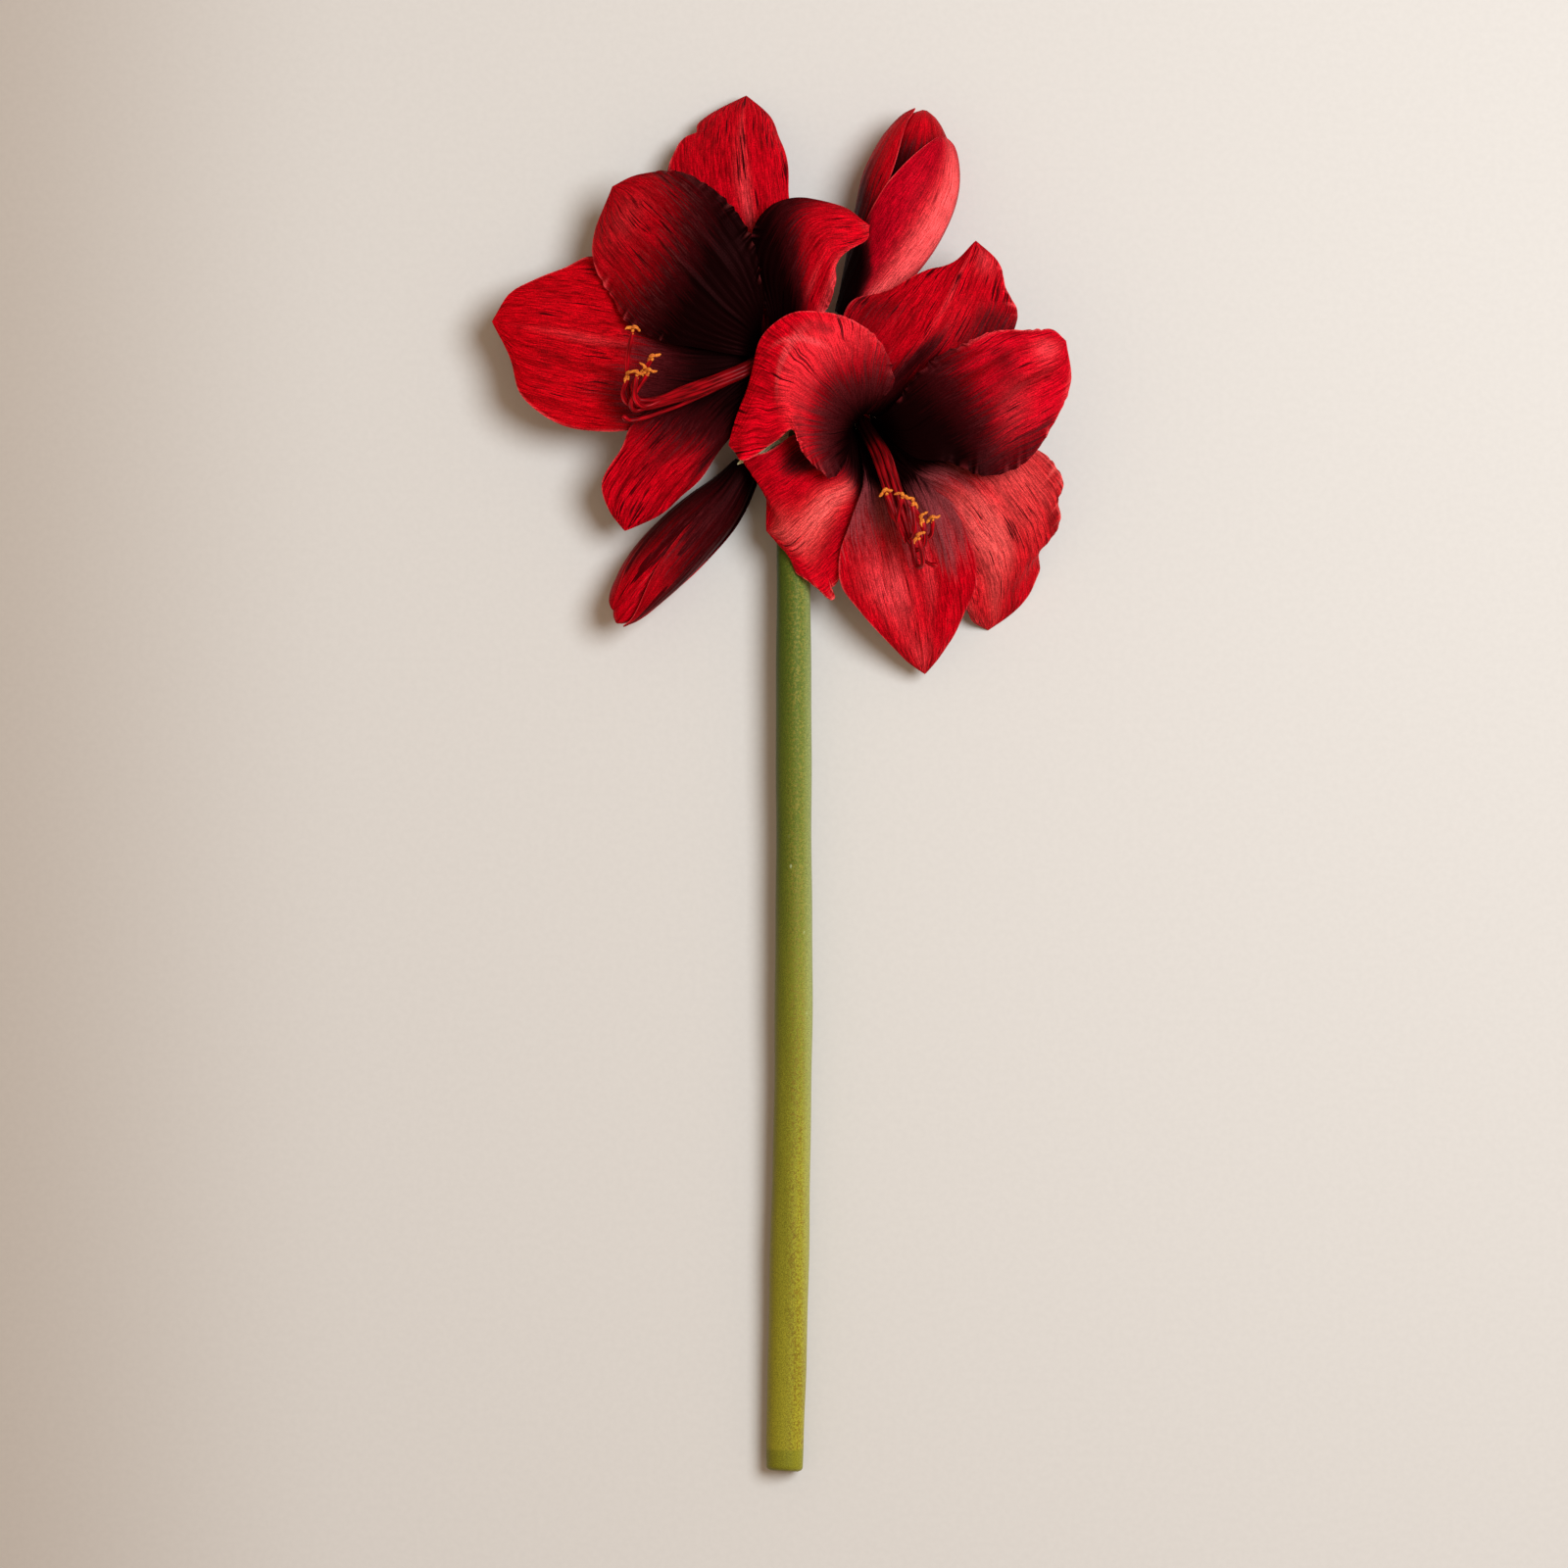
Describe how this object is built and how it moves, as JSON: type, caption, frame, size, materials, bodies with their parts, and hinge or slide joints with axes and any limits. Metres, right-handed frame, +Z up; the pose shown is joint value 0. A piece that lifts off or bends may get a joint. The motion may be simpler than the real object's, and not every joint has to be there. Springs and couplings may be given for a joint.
{
  "type": "cut amaryllis stem",
  "caption": "Cut amaryllis stem lying flat: a leafless green scape carrying open dark red blooms with waved tepals and curved stamens, and closed buds.",
  "frame": {"origin": "on the surface the stem lies on, under the middle of the whole stem's outline seen from above", "axes": "+Y along the stem from its cut end towards the blooms, +X to the right as seen from above, +Z up from the surface"},
  "size_m": [0.2818, 0.6794, 0.0714],
  "materials": {
    "tepal": "velvety deep red with darker veins and a near-black throat",
    "bud": "satin deep red, maroon towards the base",
    "stalk": "dull dark maroon brown",
    "filament": "glossy red filaments with powdery yellow-orange anthers",
    "scape": "satin green with fine pale flecks",
    "spathe": "dry papery tan bract"
  },
  "bodies": {
    "root": {"left_bloom_lower_left_sepal": "tepal", "left_bloom_lower_petal": "tepal", "left_bloom_lower_right_sepal": "tepal", "left_bloom_pedicel": "stalk", "left_bloom_stamens": "filament", "left_bloom_style": "filament", "left_bloom_top_sepal": "tepal", "left_bloom_upper_left_petal": "tepal", "left_bloom_upper_right_petal": "tepal", "lower_bud_front_sepal": "bud", "lower_bud_furled_petals": "bud", "lower_bud_pedicel": "stalk", "lower_bud_under_sepal": "bud", "lower_bud_upper_sepal": "bud", "right_bloom_lower_left_sepal": "tepal", "right_bloom_lower_petal": "tepal", "right_bloom_lower_right_sepal": "tepal", "right_bloom_pedicel": "stalk", "right_bloom_stamens": "filament", "right_bloom_style": "filament", "right_bloom_top_sepal": "tepal", "right_bloom_upper_left_petal": "tepal", "right_bloom_upper_right_petal": "tepal", "scape": "scape", "spathe_left": "spathe", "spathe_right": "spathe", "upper_bud_front_sepal": "bud", "upper_bud_furled_petals": "bud", "upper_bud_left_sepal": "bud", "upper_bud_pedicel": "stalk", "upper_bud_under_sepal": "bud"}
  },
  "joints": []
}
